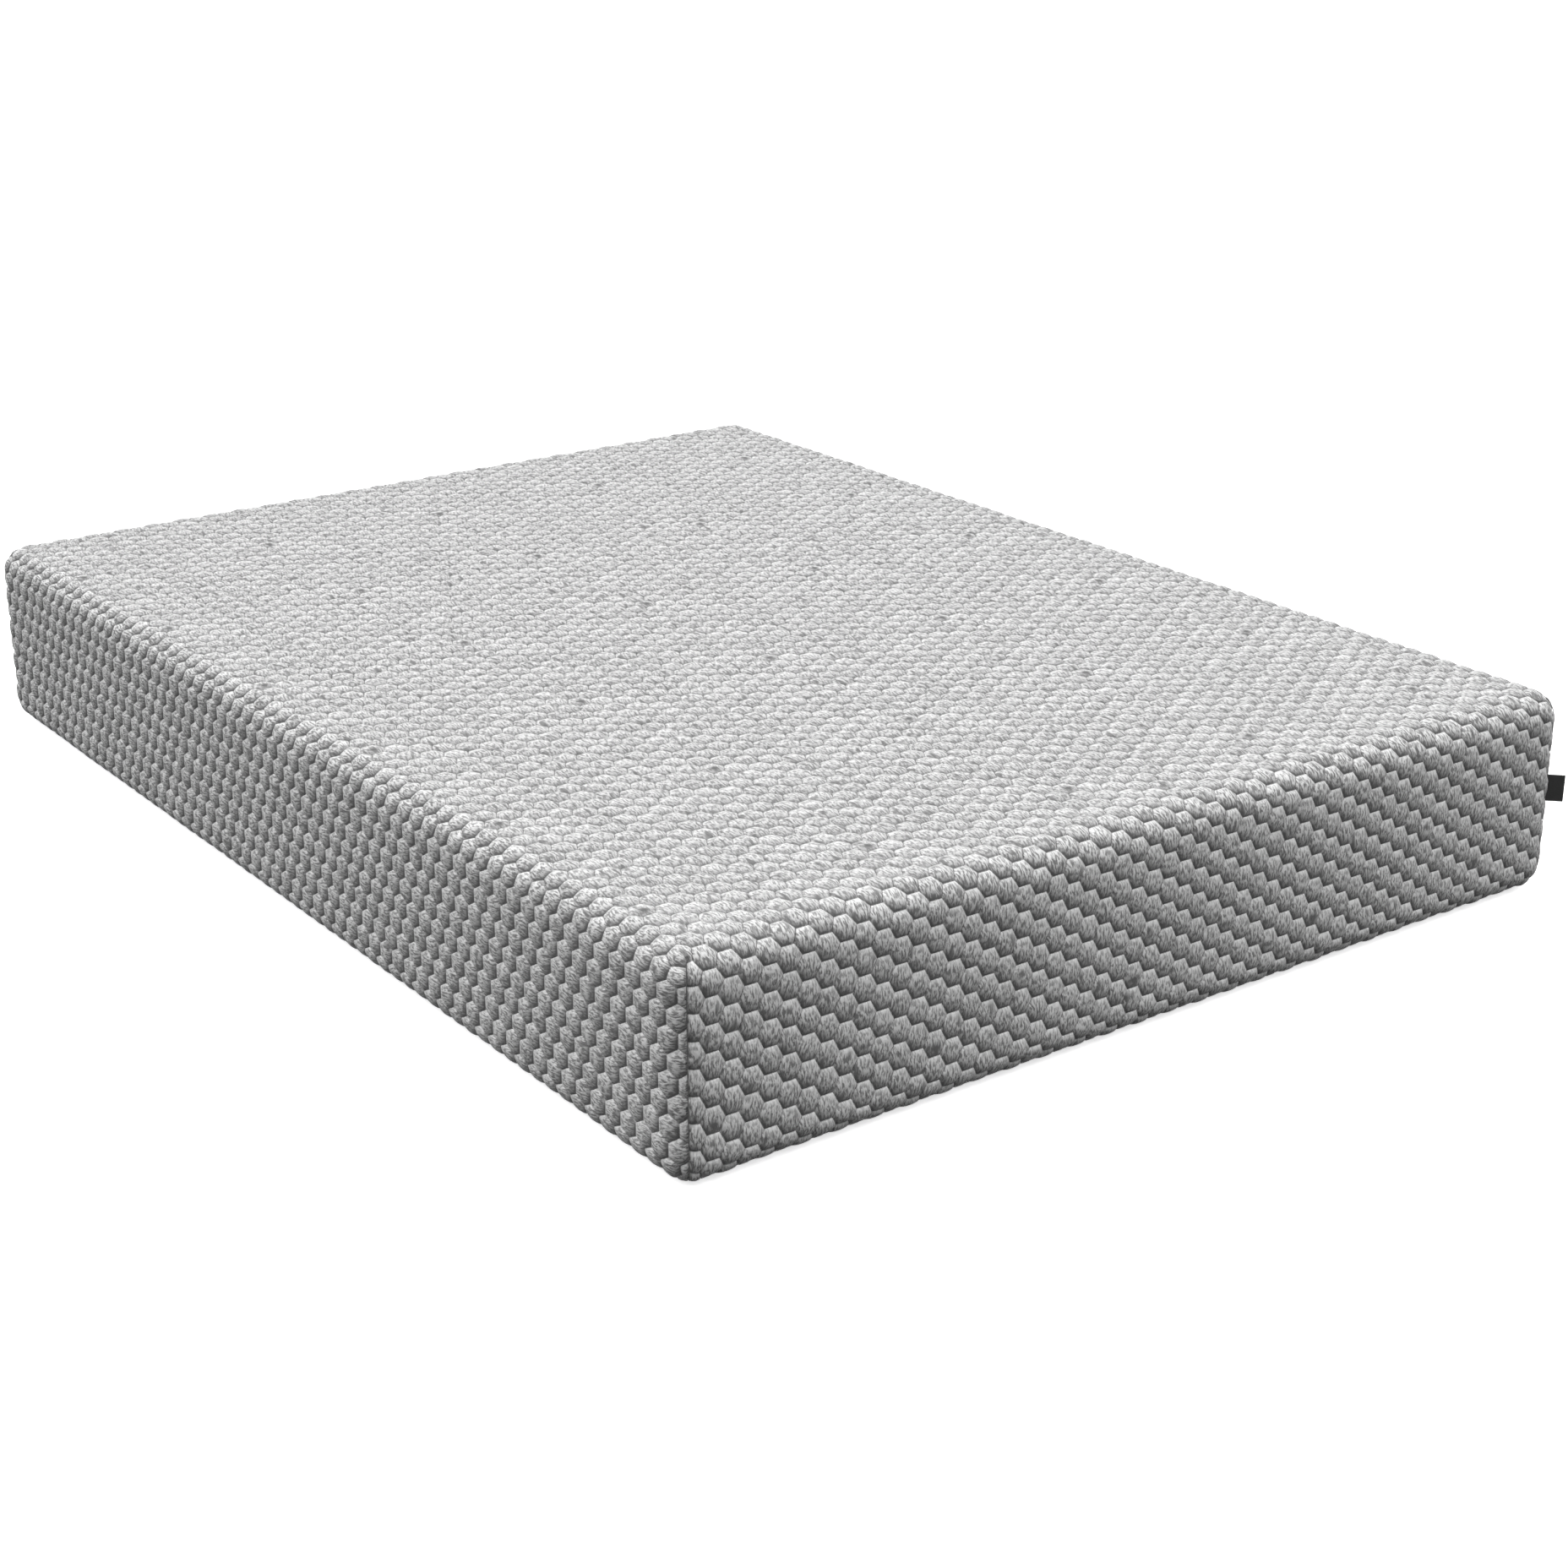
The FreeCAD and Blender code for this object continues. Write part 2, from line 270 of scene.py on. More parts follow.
def seam_line(angle, stretch, cross_stretch):
    """The sewn edge of a flap at a corner, as run and width from the corner of the top panel.

    The angle is where the seam stands on the rounded corner, from the flap's own side."""
    slope = 1 / math.tan(SEAM_START)
    start = (EDGE_RADIUS * math.atan(math.cos(angle) * slope) / stretch,
             EDGE_RADIUS * math.atan(math.sin(angle) * slope) / cross_stretch)
    bend = (EDGE_RADIUS * SEAM_BEND / stretch,
            EDGE_RADIUS * math.atan(math.tan(angle) * math.sin(SEAM_BEND)))
    width = EDGE_RADIUS * angle
    return [start, bend, (QUARTER / stretch, width), (PAST_HEM, width)]


def cut(bm, faces, place, normal, clear=True):
    """Cut faces through with a plane, throw away what is in front of it, and return the rest."""
    geom = list({v for f in faces for v in f.verts}) + list({e for f in faces for e in f.edges}) + faces
    left = bmesh.ops.bisect_plane(bm, geom=geom, dist=1e-6, plane_co=place, plane_no=normal,
                                  clear_outer=clear)["geom"]
    return [item for item in left if isinstance(item, bmesh.types.BMFace)]


def cut_corner(bm, sx, sy):
    """Cut the notch out of one corner of the cross, along the two flaps' sewn edges."""
    angle = SEAM_ANGLES[sx, sy]
    side = seam_line(angle, SIDE_STRETCH, END_STRETCH)
    end = seam_line(math.pi / 2 - angle, END_STRETCH, SIDE_STRETCH)
    origin = Vector((sx * HALF_X, sy * HALF_Y, 0))
    across = Vector((-sx * side[0][1], sy * side[0][0], 0))
    faces = []
    waste = []
    for face in bm.faces:
        centre = face.calc_center_median() - origin
        run, width = centre.x * sx, centre.y * sy
        if min(run, width) > CORNER_REACH:
            waste.append(face)
        elif min(run, width) > -CORNER_MARGIN:
            faces.append(face)
    bmesh.ops.delete(bm, geom=waste, context="FACES")
    faces = cut(bm, faces, origin, across, clear=False)
    flaps = {True: [], False: []}
    for face in faces:
        flaps[across.dot(face.calc_center_median() - origin) < 0].append(face)
    parted = bmesh.ops.split(bm, geom=flaps[True])["geom"]
    flaps[True] = [item for item in parted if isinstance(item, bmesh.types.BMFace)]
    for line, on_side in ((side, True), (end, False)):
        mine = flaps[on_side]
        for (run, width), (next_run, next_width) in zip(line, line[1:]):
            if on_side:
                place = origin + Vector((sx * run, sy * width, 0))
                normal = Vector((-sx * (next_width - width), sy * (next_run - run), 0))
            else:
                place = origin + Vector((sx * width, sy * run, 0))
                normal = Vector((sx * (next_run - run), -sy * (next_width - width), 0))
            mine = cut(bm, mine, place, normal)


def fold(run, width, stretch, line):
    """Fold a flap over the rounded edge: its outward, sideways and upward direction, and its drop."""
    line = np.array([(0, 0)] + line)
    angle = line[-1][1] / EDGE_RADIUS
    arc = np.maximum(run, 0) * stretch
    turn = np.minimum(arc / EDGE_RADIUS, math.pi / 2)
    room = np.interp(run, line[:, 0], line[:, 1])
    share = np.clip(np.maximum(width, 0) / np.maximum(room, 1e-9), 0, 1)
    swing = share * np.arctan(math.tan(angle) * np.sin(turn))
    tuck = np.clip((arc - QUARTER - UPRIGHT) / EDGE_RADIUS, 0, math.pi / 2)
    out = np.sin(turn) * np.cos(swing) * np.cos(tuck)
    sideways = np.sin(swing) * np.cos(tuck)
    up = np.cos(turn) * np.cos(swing) - np.sin(tuck)
    drop = np.clip(arc - QUARTER, 0, UPRIGHT)
    start = line[1][0]
    gap = np.interp(np.maximum(run, start), line[:, 0], line[:, 1]) - width
    to_seam = np.hypot(gap, np.maximum(start - run, 0))
    return out, sideways, up, drop, to_seam, DROP - arc


def rolled(distance, reach):
    """How full the cloth still is at a distance from a sewn edge: 0 at the edge, 1 past its reach."""
    return np.sqrt(1 - (1 - np.clip(distance / reach, 0, 1)) ** 2)


def made_up(flat, height):
    """Where the points of the flat cross lie on the made-up mattress."""
    places = np.zeros((len(flat), 3))
    for (sx, sy), angle in SEAM_ANGLES.items():
        here = ((flat[:, 0] >= 0) == (sx > 0)) & ((flat[:, 1] >= 0) == (sy > 0))
        run = flat[here, 0] * sx - HALF_X
        width = flat[here, 1] * sy - HALF_Y
        side = seam_line(angle, SIDE_STRETCH, END_STRETCH)
        end = seam_line(math.pi / 2 - angle, END_STRETCH, SIDE_STRETCH)
        on_side = (run > 0) & ((width <= 0) | (width * side[0][0] <= run * side[0][1]))
        on_end = (width > 0) & ~on_side
        x, y, z, drop, to_seam, to_hem = fold(run, width, SIDE_STRETCH, side)
        y2, x2, z2, drop2, to_seam2, to_hem2 = fold(width, run, END_STRETCH, end)
        x = np.where(on_side, x, np.where(on_end, x2, 0))
        y = np.where(on_side, y, np.where(on_end, y2, 0))
        z = np.where(on_side, z, np.where(on_end, z2, 1))
        drop = np.where(on_side, drop, np.where(on_end, drop2, 0))
        to_seam = np.where(on_side, to_seam, np.where(on_end, to_seam2, 1))
        to_hem = np.where(on_side, to_hem, np.where(on_end, to_hem2, 1))
        full = rolled(to_seam, SEAM_ROLL) * rolled(to_hem, HEM_ROLL)
        core_x = np.minimum(run, 0) + HALF_X
        core_y = np.minimum(width, 0) + HALF_Y
        core_z = TOP - EDGE_RADIUS - drop
        rest = np.stack([sx * core_x, sy * core_y, core_z], 1)
        normal = np.stack([sx * x, sy * y, z], 1)
        sink = (PUFF_HEIGHT - height[here]) * full + (PUFF_HEIGHT + EDGE_SINK) * (1 - full) - PUFF_PROUD
        sink += swell(rest + EDGE_RADIUS * normal)
        places[here] = rest + normal * (EDGE_RADIUS - sink)[:, None]
    return places


def swell(places):
    """The slight unevenness of stuffed cloth, as a depth that is never less than nothing."""
    random = np.random.default_rng(PUFF_SEED)
    total = np.zeros(len(places))
    for wave in range(SWELL_WAVES):
        direction = random.normal(size=3) * 2 * math.pi / random.uniform(*SWELL_LENGTHS)
        total += np.sin(places @ direction + random.uniform(0, 2 * math.pi))
    return SWELL * (1 + np.tanh(total / 3))


def nearest_puff(flat):
    """The column and row of the puff that each point of the flat cross is on."""
    column = np.floor((flat[:, 0] - COLUMN_START) / COLUMN_PITCH)
    best = None
    for side in (0, 1):
        this = column + side
        row = np.round((flat[:, 1] - ROW_START - (this % 2) * ROW_PITCH / 2) / ROW_PITCH)
        dx = ((flat[:, 0] - COLUMN_START - this * COLUMN_PITCH)
              * ROW_PITCH * math.sqrt(0.75) / COLUMN_PITCH)
        dy = flat[:, 1] - ROW_START - (this % 2) * ROW_PITCH / 2 - row * ROW_PITCH
        far = np.hypot(dx, dy)
        if best is None:
            best = far, this, row
        else:
            nearer = far < best[0]
            best = far, np.where(nearer, this, best[1]), np.where(nearer, row, best[2])
    return best[1].astype(int), best[2].astype(int)


bm = puff_field()
for place, normal in (((HALF_X + SIDE_FLAP, 0, 0), (1, 0, 0)), ((-HALF_X - SIDE_FLAP, 0, 0), (-1, 0, 0)),
                      ((0, HALF_Y + END_FLAP, 0), (0, 1, 0)), ((0, -HALF_Y - END_FLAP, 0), (0, -1, 0))):
    axis = Vector(normal)
    close = Vector(place).dot(axis) - 2 * ROW_PITCH
    cut(bm, [face for face in bm.faces if face.calc_center_median().dot(axis) > close], place, normal)
for corner in SEAM_ANGLES:
    cut_corner(bm, *corner)
bmesh.ops.remove_doubles(bm, verts=bm.verts, dist=WELD)
cover = piece("knit_cover_puffs", bm)
mesh = cover.data

flat = np.zeros(len(mesh.vertices) * 3)
mesh.vertices.foreach_get("co", flat)
flat = flat.reshape(-1, 3)
centres = np.zeros(len(mesh.polygons) * 3)
mesh.polygons.foreach_get("center", centres)
corners = np.zeros(len(mesh.loops), dtype=int)
mesh.loops.foreach_get("vertex_index", corners)
cloth = mesh.uv_layers.new(name="cloth")
cloth.uv.foreach_set("vector", flat[corners][:, :2].ravel())

table = np.random.default_rng(PUFF_SEED).normal(size=(2, TILE_COLUMNS, TILE_ROWS)).clip(-2, 2)
column, row = nearest_puff(centres.reshape(-1, 3))
tone = mesh.attributes.new("tone", "FLOAT", "FACE")
tone.data.foreach_set("value", table[0][column % TILE_COLUMNS, row % TILE_ROWS])
column, row = nearest_puff(flat)
height = flat[:, 2] * (1 + PUFF_SPREAD / 2 * (table[1][column % TILE_COLUMNS, row % TILE_ROWS] - 2))
fullness = mesh.attributes.new("fullness", "FLOAT", "POINT")
fullness.data.foreach_set("value", flat[:, 2] / PUFF_HEIGHT)
# Painted shade on each puff's slope that faces LEE, stronger on the flaps than on the top, and a painted
# highlight on the slope facing away, stored with the repeat's real dark fleck.
slopes = np.zeros(len(mesh.vertices) * 3)
mesh.vertex_normals.foreach_get("vector", slopes)
painted_slope_light_and_fleck = mesh.attributes.new("painted_slope_light_and_fleck", "FLOAT", "POINT")
past_edge = np.maximum(np.abs(flat[:, 0]) - HALF_X, np.abs(flat[:, 1]) - HALF_Y) / EDGE_RADIUS
painted_slope_light_share = np.interp(past_edge, (0, 1), (PAINTED_SLOPE_LIGHT_TOP, PAINTED_SLOPE_LIGHT_FLAPS))
repeat = np.array([TILE_COLUMNS * COLUMN_PITCH, TILE_ROWS * ROW_PITCH])
to_fleck = (flat[:, :2] - FLECK_PLACE + repeat / 2) % repeat - repeat / 2
fleck = np.exp(-(np.hypot(to_fleck[:, 0], to_fleck[:, 1]) / FLECK_SIZE) ** 2)
painted_slope_light_and_fleck.data.foreach_set("value", painted_slope_light_share * (slopes.reshape(-1, 3) @ np.array(LEE)) + FLECK_SHARE * fleck)
grain = mesh.attributes.new("grain", "FLOAT", "POINT")
grain.data.foreach_set("value", np.interp(past_edge, (0, 1), (GRAIN_TOP, 1.0)))
mesh.vertices.foreach_set("co", made_up(flat, height).ravel())
mesh.update()

knit, tree, shader = material("heathered_jacquard_knit")
# Soft matt knit of mixed light and dark grey yarn: short upright strokes wander over each puff and
# each puff has its own tone, and one dark fleck comes up in each repeat. Painted shade darkens the
# creases and the side of each puff that faces the foot end, most of all on the flaps, and a painted
# highlight lightens the side that faces the head. The yarn is drawn about three times as coarse as
# its real 0.8 mm so that it shows.
shader.inputs["Roughness"].default_value = 0.92
shader.inputs["Specular IOR Level"].default_value = 0.25
shader.inputs["Sheen Weight"].default_value = 0.08
shader.inputs["Sheen Roughness"].default_value = 0.6
plane = node(tree, "UVMap", uv_map="cloth").outputs["UV"]
wander = node(tree, "TexNoise", {"Vector": plane}, Scale=WANDER_SCALE, Detail=1.0).outputs["Color"]
shift = node(tree, "VectorMath", {0: wander}, operation="SCALE", Scale=YARN_WANDER).outputs[0]
drawn = node(tree, "VectorMath", {0: plane, 1: shift}, operation="ADD").outputs[0]
along = node(tree, "Mapping", {"Vector": drawn}, Scale=(1 / YARN_WIDTH, 1 / YARN_LENGTH, 1.0)).outputs[0]
yarn = node(tree, "TexNoise", {"Vector": along}, Scale=1.0, Detail=2.0, Roughness=0.55).outputs["Fac"]
heather = node(tree, "MapRange", {"Value": yarn}, From_Min=HEATHER_SPAN[0],
               From_Max=HEATHER_SPAN[1]).outputs[0]
grain = node(tree, "Attribute", attribute_name="grain").outputs["Fac"]
heather = node(tree, "Mix", {"Factor": grain, "B": heather}, A=0.5).outputs["Result"]
tinted = node(tree, "Attribute", attribute_name="tone").outputs["Fac"]
tinted = node(tree, "Math", {0: tinted}, operation="MULTIPLY").outputs[0]
tinted.node.inputs[1].default_value = PUFF_TONE
heather = node(tree, "Math", {0: heather, 1: tinted}, operation="ADD").outputs[0]
colour = node(tree, "Mix", {"Factor": heather}, data_type="RGBA",
              A=linear(KNIT_DARK), B=linear(KNIT_LIGHT_YARN_AND_HIGHLIGHT))
slub = node(tree, "TexNoise", {"Vector": along}, Scale=1 / SLUB_SIZE, Detail=0.0).outputs["Fac"]
slub = node(tree, "MapRange", {"Value": slub}, From_Min=SLUB_SPAN[0], From_Max=SLUB_SPAN[1],
            To_Max=SLUB_SHARE).outputs[0]
flecked = node(tree, "Mix", {"Factor": slub, "A": colour.outputs["Result"]}, data_type="RGBA",
               B=linear(KNIT_SLUB_FLECK_AND_SHADE))
slope = node(tree, "Attribute", attribute_name="painted_slope_light_and_fleck").outputs["Fac"]
# Painted highlight: slopes that face away from the foot end take on the light yarn colour.
over = node(tree, "MapRange", {"Value": slope}, From_Max=-1.0, To_Max=PAINTED_WINDWARD_HIGHLIGHT).outputs[0]
lit = node(tree, "Mix", {"Factor": over, "A": flecked.outputs["Result"]}, data_type="RGBA",
           B=linear(KNIT_LIGHT_YARN_AND_HIGHLIGHT))
# Painted shade: the creases between the puffs, where the cloth is least full, are darkened.
filled = node(tree, "Attribute", attribute_name="fullness").outputs["Fac"]
filled = node(tree, "MapRange", {"Value": filled}, From_Max=CREASE_SHARE).outputs[0]
shaded = node(tree, "Mix", {"Factor": filled, "B": lit.outputs["Result"]}, data_type="RGBA",
              A=linear(KNIT_CREASE_SHADE))
# Painted shade in the dark slub colour on slopes that face the foot end, where the repeat's real dark
# fleck also shows.
under = node(tree, "MapRange", {"Value": slope}).outputs[0]
slope_shaded = node(tree, "Mix", {"Factor": under, "A": shaded.outputs["Result"]}, data_type="RGBA",
              B=linear(KNIT_SLUB_FLECK_AND_SHADE))
tree.links.new(slope_shaded.outputs["Result"], shader.inputs["Base Color"])
relief = node(tree, "Bump", {"Height": yarn}, Distance=YARN_RELIEF, Strength=1.0).outputs["Normal"]
tree.links.new(relief, shader.inputs["Normal"])
mesh.materials.append(knit)
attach(cover, "mattress")
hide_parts("knit_cover")

# --- Corner seams -----------------------------------------------------------------------------
# Where two flaps meet they are lockstitched with spun polyester thread, which lies sunk between
# the puffs from just under the top edge to the hem.

SEAM_TOP_ANGLE = 47.0
SEAM_BOTTOM_ANGLE = 63.0
THREAD_RADIUS = 0.0006
THREAD_PATH = EDGE_RADIUS - 0.0022 + THREAD_RADIUS
THREAD_GREY = "#565656"
THREAD_PLY = 0.0012
SEAM_NAMES = {(-1, -1): "corner_seam_foot_left", (1, -1): "corner_seam_foot_right",
              (-1, 1): "corner_seam_head_left", (1, 1): "corner_seam_head_right"}
Z = Vector((0, 0, 1))
Y = Vector((0, 1, 0))


def just(kind, geom):
    """Only the vertices, edges or faces of an operator's result."""
    return [item for item in geom if isinstance(item, kind)]


def carry_on(bm, edges, step):
    """Draw edges out by a step, and return the new ones."""
    made = bmesh.ops.extrude_edge_only(bm, edges=edges)["geom"]
    verts = just(bmesh.types.BMVert, made)
    bmesh.ops.translate(bm, vec=step, verts=verts)
    moved = set(verts)
    return [e for e in just(bmesh.types.BMEdge, made) if set(e.verts) <= moved]


def carry_round(bm, edges, centre, axis, angle, steps):
    """Sweep edges round a centre, and return the last ones."""
    swept = bmesh.ops.spin(bm, geom=edges, cent=centre, axis=axis, angle=angle, steps=steps,
                           use_merge=False)["geom_last"]
    return just(bmesh.types.BMEdge, swept)


def bands(pitch):
    """The wave texture's scale that sets its bands this far apart."""
    return math.pi / pitch / 10


thread, tree, shader = material("spun_polyester_thread")
# Dull two-ply thread: the plies show as fine slanted ridges, drawn at their real pitch.
shader.inputs["Base Color"].default_value = linear(THREAD_GREY)
shader.inputs["Roughness"].default_value = 0.85
place = node(tree, "TexCoord").outputs["Object"]
slant = node(tree, "Mapping", {"Vector": place}, Rotation=(0.0, 0.6, 0.0)).outputs[0]
ply = node(tree, "TexWave", {"Vector": slant}, bands_direction="Z", Scale=bands(THREAD_PLY),
           Distortion=0.5).outputs["Fac"]
relief = node(tree, "Bump", {"Height": ply}, Distance=0.0002, Strength=1.0).outputs["Normal"]
tree.links.new(relief, shader.inputs["Normal"])

for (sx, sy), angle in SEAM_ANGLES.items():
    bm = bmesh.new()
    bmesh.ops.create_circle(bm, segments=8, radius=THREAD_RADIUS)
    bmesh.ops.translate(bm, vec=(THREAD_PATH, 0, 0), verts=bm.verts)
    bmesh.ops.rotate(bm, cent=(0, 0, 0), verts=bm.verts,
                     matrix=Matrix.Rotation(-math.radians(SEAM_TOP_ANGLE), 3, "Y"))
    bmesh.ops.translate(bm, vec=(0, 0, TOP - EDGE_RADIUS), verts=bm.verts)
    first = bm.edges[:]
    loop = carry_round(bm, first, (0, 0, TOP - EDGE_RADIUS), Y, math.radians(SEAM_TOP_ANGLE), 8)
    loop = carry_on(bm, loop, (0, 0, -UPRIGHT))
    last = carry_round(bm, loop, (0, 0, EDGE_RADIUS), Y, math.radians(SEAM_BOTTOM_ANGLE), 10)
    for end in (first, last):
        bmesh.ops.contextual_create(bm, geom=end)
    bmesh.ops.recalc_face_normals(bm, faces=bm.faces)
    azimuth = math.atan2(sy * math.sin(angle), sx * math.cos(angle))
    bmesh.ops.rotate(bm, cent=(0, 0, 0), matrix=Matrix.Rotation(azimuth, 3, "Z"), verts=bm.verts)
    bmesh.ops.translate(bm, vec=(sx * HALF_X, sy * HALF_Y, 0), verts=bm.verts)
    for face in bm.faces:
        face.smooth = True
    seam = piece(SEAM_NAMES[sx, sy] + "_thread", bm, thread)
    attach(seam, "mattress")
    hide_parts(SEAM_NAMES[sx, sy])

# --- Side tag ---------------------------------------------------------------------------------
# A black satin ribbon folded double, its cut ends caught in the foot end's right corner seam. Its
# woven edges are a little thicker and duller than its face. It is left blank.

TAG_ROOT = EDGE_RADIUS - 0.005
TAG_END = EDGE_RADIUS + 0.0003 + 0.023
TAG_BOTTOM = 0.136
TAG_HEIGHT = 0.0405
TAG_HALF = 0.00029
TAG_CLOTH = 0.00030
TAG_LEVELS = (0.0016, 0.0006, 0.0061, 0.0081, 0.0077, 0.0081, 0.0061, 0.0006, 0.0016)
TAG_BLACK = "#0a0a0a"
TAG_EDGE = "#1c1c1c"
TAG_TURN = -math.radians(45.0)
TAG_RIB = 0.0009

ribbon, tree, shader = material("black_satin_ribbon")
# Satin weave: long smooth floats give a soft sheen across the ribbon and a fine crosswise rib.
shader.inputs["Roughness"].default_value = 0.50
shader.inputs["Specular IOR Level"].default_value = 0.20
shader.inputs["Base Color"].default_value = linear(TAG_BLACK)
place = node(tree, "TexCoord").outputs["Object"]
weave = node(tree, "TexWave", {"Vector": place}, bands_direction="Z", Scale=bands(TAG_RIB),
             Distortion=0.6).outputs["Fac"]
relief = node(tree, "Bump", {"Height": weave}, Distance=0.00008, Strength=1.0).outputs["Normal"]
tree.links.new(relief, shader.inputs["Normal"])
selvedge, tree, shader = material("woven_ribbon_edge")
# The tight plain-woven edge has no floats, so it is duller and a shade greyer.
shader.inputs["Roughness"].default_value = 0.75
place = node(tree, "TexCoord").outputs["Object"]
grain = node(tree, "TexNoise", {"Vector": place}, Scale=2500.0, Detail=1.0).outputs["Fac"]
edge_tone = node(tree, "Mix", {"Factor": grain}, data_type="RGBA",
                 A=linear(TAG_BLACK), B=linear(TAG_EDGE))
tree.links.new(edge_tone.outputs["Result"], shader.inputs["Base Color"])

bm = bmesh.new()
bmesh.ops.create_circle(bm, segments=12, radius=TAG_HALF)
bmesh.ops.delete(bm, geom=[v for v in bm.verts if v.co.x < -1e-6], context="VERTS")
bmesh.ops.translate(bm, vec=(TAG_END - TAG_HALF - TAG_CLOTH / 2, 0, 0), verts=bm.verts)
for end in [v for v in bm.verts if len(v.link_edges) == 1]:
    for step in range(4):
        grown = bmesh.ops.extrude_vert_indiv(bm, verts=[end])["verts"]
        bmesh.ops.translate(bm, vec=((TAG_ROOT - TAG_END + TAG_HALF + TAG_CLOTH / 2) / 4, 0, 0),
                            verts=grown)
        end = grown[0]
loop = bm.edges[:]
for level in TAG_LEVELS:
    loop = carry_on(bm, loop, (0, 0, level))
bmesh.ops.recalc_face_normals(bm, faces=bm.faces)
bmesh.ops.solidify(bm, geom=bm.faces[:], thickness=TAG_CLOTH)
middle = sum((v.co.y for v in bm.verts), 0.0) / len(bm.verts)
for vert in bm.verts:
    vert.co.y -= middle
bmesh.ops.recalc_face_normals(bm, faces=bm.faces)
for face in bm.faces:
    height = face.calc_center_median().z
    if height < TAG_LEVELS[0] or height > TAG_HEIGHT - TAG_LEVELS[-1]:
        face.material_index = 1
bmesh.ops.rotate(bm, cent=(0, 0, 0), matrix=Matrix.Rotation(TAG_TURN, 3, "Z"), verts=bm.verts)
bmesh.ops.translate(bm, vec=(HALF_X, -HALF_Y, TAG_BOTTOM), verts=bm.verts)
tag = piece("side_tag_ribbon", bm, ribbon, selvedge)
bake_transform(tag)
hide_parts("side_tag")

# --- Base panel -------------------------------------------------------------------------------
# Dark woven polyester, laminated to felt, that closes the underside. Its rim turns up to meet the
# zip, and soft vinyl dots are printed on it so that the mattress doesn't slide on its base.

BASE_ANGLE = 80.0
BASE_THICKNESS = 0.005
DOT_PITCH = 0.040
DOT_RADIUS = 0.0022
DOT_HEIGHT = 0.0004
BASE_WEAVE = 0.0022
LABEL_CLEARANCE = 0.005
BASE_DARK = "#3a3c3f"
BASE_LIGHT = "#5a5c60"
DOT_GREY = "#26272a"
SIDES = (((0, 1), (1, 1), HALF_Y), ((-1, 0), (-1, 1), HALF_X),
         ((0, -1), (-1, -1), HALF_Y), ((1, 0), (1, -1), HALF_X))


def round_the_bottom(bm, edges):
    """Carry a section of the right side's bottom edge round all four sides and corners."""
    for (step_x, step_y), (cx, cy), half in SIDES:
        edges = carry_on(bm, edges, (2 * half * step_x, 2 * half * step_y, 0))
        edges = carry_round(bm, edges, (cx * HALF_X, cy * HALF_Y, 0), Z, math.pi / 2, 12)
    bmesh.ops.remove_doubles(bm, verts=bm.verts, dist=WELD)


def arc_section(bm, radius, start, end, steps):
    """An arc of the bottom rounding's section on the right side, as edges."""
    first = bm.verts.new((HALF_X, -HALF_Y, EDGE_RADIUS - radius))
    turn = Matrix.Rotation(math.radians(start - 90), 3, "Y")
    centre = Vector((HALF_X, -HALF_Y, EDGE_RADIUS))
    bmesh.ops.rotate(bm, cent=centre, matrix=turn, verts=[first])
    swept = bmesh.ops.spin(bm, geom=[first], cent=centre, axis=Y, angle=math.radians(end - start),
                           steps=steps, use_merge=False)["geom_last"]
    return first, just(bmesh.types.BMVert, swept)[0]


base_cloth, tree, shader = material("woven_polyester_base_cloth")
# A coarse two-tone plain weave, drawn three times its real 0.7 mm so that it shows, and matt.
shader.inputs["Roughness"].default_value = 0.9
place = node(tree, "TexCoord").outputs["Object"]
warp = node(tree, "TexWave", {"Vector": place}, bands_direction="X",
            Scale=bands(BASE_WEAVE)).outputs["Fac"]
weft = node(tree, "TexWave", {"Vector": place}, bands_direction="Y",
            Scale=bands(BASE_WEAVE)).outputs["Fac"]
over = node(tree, "Math", {0: warp, 1: weft}, operation="MULTIPLY").outputs[0]
slub = node(tree, "TexNoise", {"Vector": place}, Scale=60.0, Detail=4.0).outputs["Fac"]
mottle = node(tree, "Math", {0: over, 1: slub}, operation="ADD").outputs[0]
mottle = node(tree, "MapRange", {"Value": mottle}, From_Min=0.35, From_Max=1.3).outputs[0]
cloth_tone = node(tree, "Mix", {"Factor": mottle}, data_type="RGBA",
                  A=linear(BASE_DARK), B=linear(BASE_LIGHT))
tree.links.new(cloth_tone.outputs["Result"], shader.inputs["Base Color"])
relief = node(tree, "Bump", {"Height": over}, Distance=0.0003, Strength=1.0).outputs["Normal"]
tree.links.new(relief, shader.inputs["Normal"])
vinyl, tree, shader = material("printed_vinyl_dot")
# Soft PVC ink dries slightly domed, darker and smoother than the cloth, with faint speckle.
shader.inputs["Roughness"].default_value = 0.45
place = node(tree, "TexCoord").outputs["Object"]
speck = node(tree, "TexNoise", {"Vector": place}, Scale=900.0, Detail=2.0).outputs["Fac"]
ink = node(tree, "Mix", {"Factor": speck}, data_type="RGBA", A=linear(DOT_GREY), B=linear(BASE_DARK))
tree.links.new(ink.outputs["Result"], shader.inputs["Base Color"])

bm = bmesh.new()
bottom_start, bottom_end = arc_section(bm, EDGE_RADIUS - DOT_HEIGHT, BASE_ANGLE, 90.0, 3)
top_start, top_end = arc_section(bm, EDGE_RADIUS - BASE_THICKNESS, BASE_ANGLE, 90.0, 3)
bmesh.ops.contextual_create(bm, geom=[bottom_start, top_start])
round_the_bottom(bm, bm.edges[:])
rims = [e for e in bm.edges if e.is_boundary]
bmesh.ops.holes_fill(bm, edges=rims, sides=0)
bmesh.ops.triangulate(bm, faces=[f for f in bm.faces if len(f.verts) > 4])
bmesh.ops.recalc_face_normals(bm, faces=bm.faces)
base = piece("base_panel_cloth", bm, base_cloth)
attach(base, "mattress")
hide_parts("base_panel")

